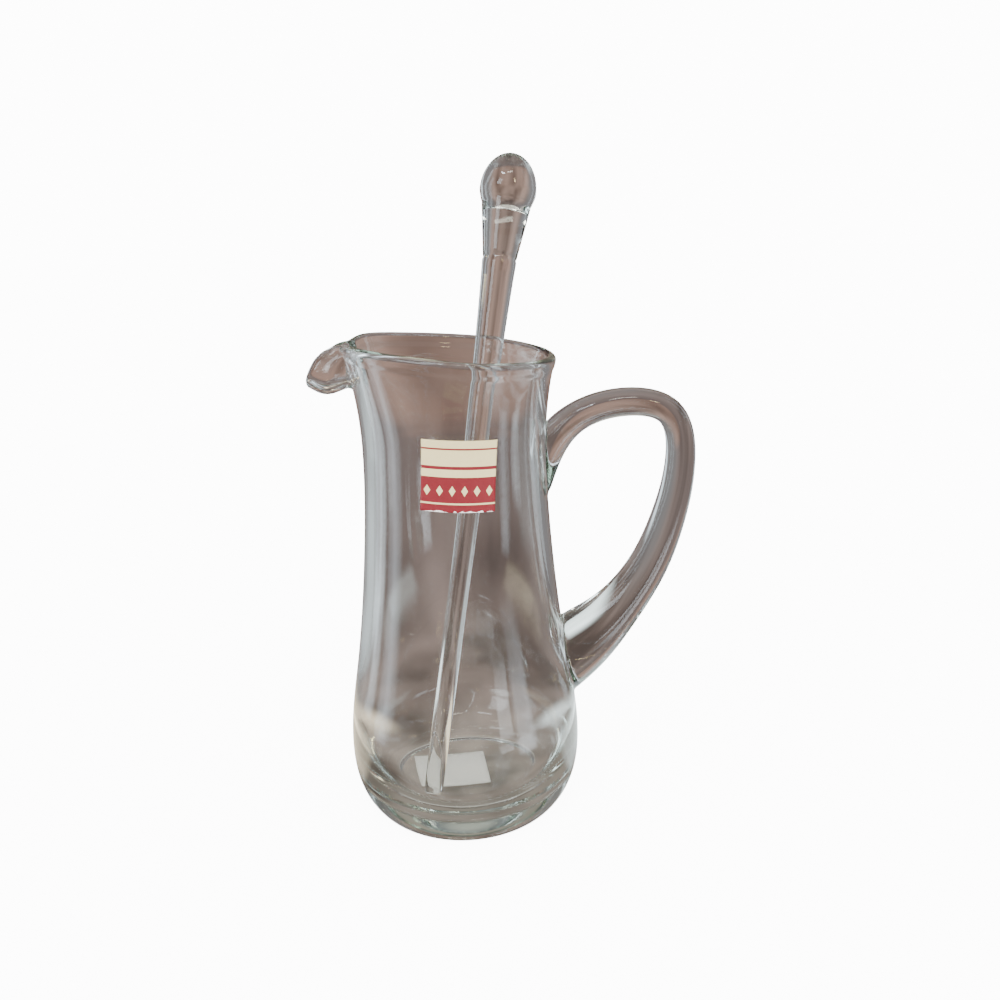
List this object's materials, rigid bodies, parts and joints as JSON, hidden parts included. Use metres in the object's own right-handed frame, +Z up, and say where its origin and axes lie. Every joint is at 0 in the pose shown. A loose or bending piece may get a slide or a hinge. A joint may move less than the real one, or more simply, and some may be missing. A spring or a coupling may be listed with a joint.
{
  "type": "cocktail pitcher",
  "caption": "Clear glass cocktail pitcher with a pear-shaped body, slanted rim, turned-down pouring lip and ear handle; its drop-topped glass stirrer lifts out along its own length.",
  "frame": {"origin": "on the jug's axis, at the table that its base stands on", "axes": "+Z up along the jug's axis, +X from the axis towards the handle, -X towards the pouring lip; the front label faces -Y"},
  "size_m": [0.1709, 0.1184, 0.298],
  "materials": {
    "clear_glass": "gloss",
    "label_paper": "satin",
    "blank_paper": "matte"
  },
  "bodies": {
    "jug": {"jug_body": "clear_glass", "handle": "clear_glass", "front_label": "label_paper", "base_label": "blank_paper"},
    "stirrer": {"stirrer_rod": "clear_glass", "stirrer_knob": "clear_glass"}
  },
  "joints": [
    {"name": "stirrer_lift", "type": "slide", "parent": "jug", "child": "stirrer", "axis": [0.1579, 0.2921, 0.9433], "range_m": [0, 0.24]}
  ]
}
